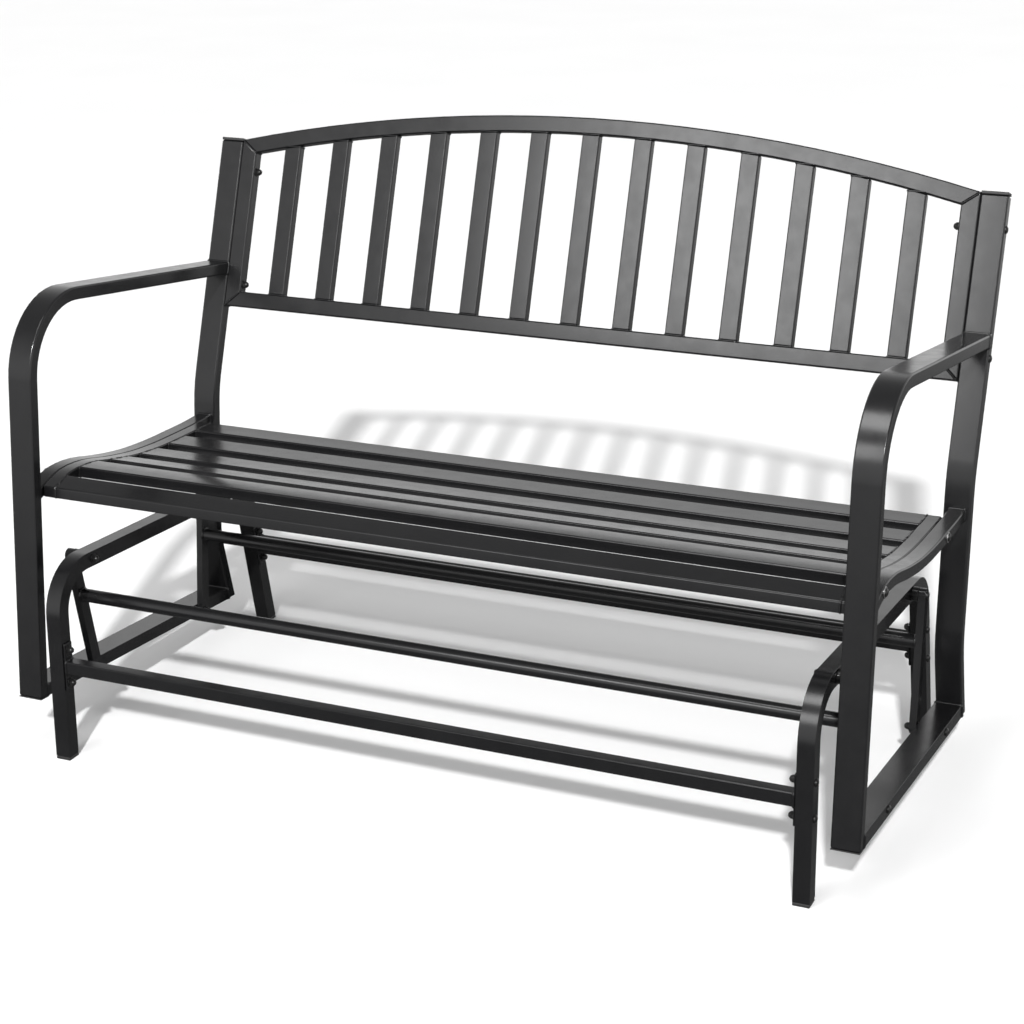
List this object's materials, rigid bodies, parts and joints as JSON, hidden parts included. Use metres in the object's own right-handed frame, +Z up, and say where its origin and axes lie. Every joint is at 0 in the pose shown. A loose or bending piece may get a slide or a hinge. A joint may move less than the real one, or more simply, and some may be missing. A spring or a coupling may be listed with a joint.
{
  "type": "glider porch swing",
  "caption": "Steel glider porch swing: a slatted seat with an arched back and bent-tube arms hangs on swing links from a standing base.",
  "frame": {"origin": "on the floor under the middle of the whole object's box", "axes": "+X along the bench to the right as seen from the front, -Y the way the sitter faces, +Z up"},
  "size_m": [1.3098, 0.7182, 0.8919],
  "materials": {
    "powder_coated_steel": "satin black powder coat with a fine orange peel",
    "black_fastener": "black coated bolts, spacers and dome nuts",
    "black_plastic": "moulded black plastic"
  },
  "bodies": {
    "base": {"base_crossbar_front": "powder_coated_steel", "base_crossbar_rear": "powder_coated_steel", "base_frame_left": "powder_coated_steel", "base_frame_right": "powder_coated_steel", "foot_front_left": "black_plastic", "foot_front_right": "black_plastic", "foot_rear_left": "black_plastic", "foot_rear_right": "black_plastic", "pivot_upper_front_left": "black_fastener", "pivot_upper_front_right": "black_fastener", "pivot_upper_rear_left": "black_fastener", "pivot_upper_rear_right": "black_fastener"},
    "front_yoke": {"cross_tube_front": "powder_coated_steel", "link_front_left": "powder_coated_steel", "link_front_right": "powder_coated_steel"},
    "seat": {"arm_tube_left": "powder_coated_steel", "arm_tube_right": "powder_coated_steel", "back_bottom_rail": "powder_coated_steel", "back_slat_01": "powder_coated_steel", "back_slat_02": "powder_coated_steel", "back_slat_03": "powder_coated_steel", "back_slat_04": "powder_coated_steel", "back_slat_05": "powder_coated_steel", "back_slat_06": "powder_coated_steel", "back_slat_07": "powder_coated_steel", "back_slat_08": "powder_coated_steel", "back_slat_09": "powder_coated_steel", "back_slat_10": "powder_coated_steel", "back_slat_11": "powder_coated_steel", "back_slat_12": "powder_coated_steel", "back_slat_13": "powder_coated_steel", "back_stile_left": "powder_coated_steel", "back_stile_right": "powder_coated_steel", "back_top_rail": "powder_coated_steel", "bottom_rail_left": "powder_coated_steel", "bottom_rail_right": "powder_coated_steel", "leg_cap_left": "black_plastic", "leg_cap_right": "black_plastic", "pivot_lower_front_left": "black_fastener", "pivot_lower_front_right": "black_fastener", "pivot_lower_rear_left": "black_fastener", "pivot_lower_rear_right": "black_fastener", "post_cap_left": "black_plastic", "post_cap_right": "black_plastic", "rear_post_left": "powder_coated_steel", "rear_post_right": "powder_coated_steel", "seat_end_band_left": "powder_coated_steel", "seat_end_band_right": "powder_coated_steel", "seat_front_rail": "powder_coated_steel", "seat_rear_rail": "powder_coated_steel", "seat_slat_1": "powder_coated_steel", "seat_slat_2": "powder_coated_steel", "seat_slat_3": "powder_coated_steel", "seat_slat_4": "powder_coated_steel", "seat_support_left": "powder_coated_steel", "seat_support_right": "powder_coated_steel"},
    "rear_yoke": {"cross_tube_rear": "powder_coated_steel", "link_rear_left": "powder_coated_steel", "link_rear_right": "powder_coated_steel"}
  },
  "joints": [
    {"name": "front_swing", "type": "hinge", "parent": "base", "child": "front_yoke", "pos_m": [0, -0.26167, 0.29265], "axis": [1, 0, 0], "range_deg": [-11.5, 11.5]},
    {"name": "seat_hang", "type": "hinge", "parent": "front_yoke", "child": "seat", "pos_m": [0, -0.21721, 0.09212], "axis": [1, 0, 0], "range_deg": [-14, 14]},
    {"name": "rear_swing", "type": "hinge", "parent": "base", "child": "rear_yoke", "pos_m": [0, 0.11953, 0.27207], "axis": [1, 0, 0], "range_deg": [-11.5, 11.5]}
  ],
  "couplings": [
    {"joint": "seat_hang", "follows": "front_swing", "ratio": -1.1912},
    {"joint": "rear_swing", "follows": "front_swing", "ratio": 0.9764}
  ]
}
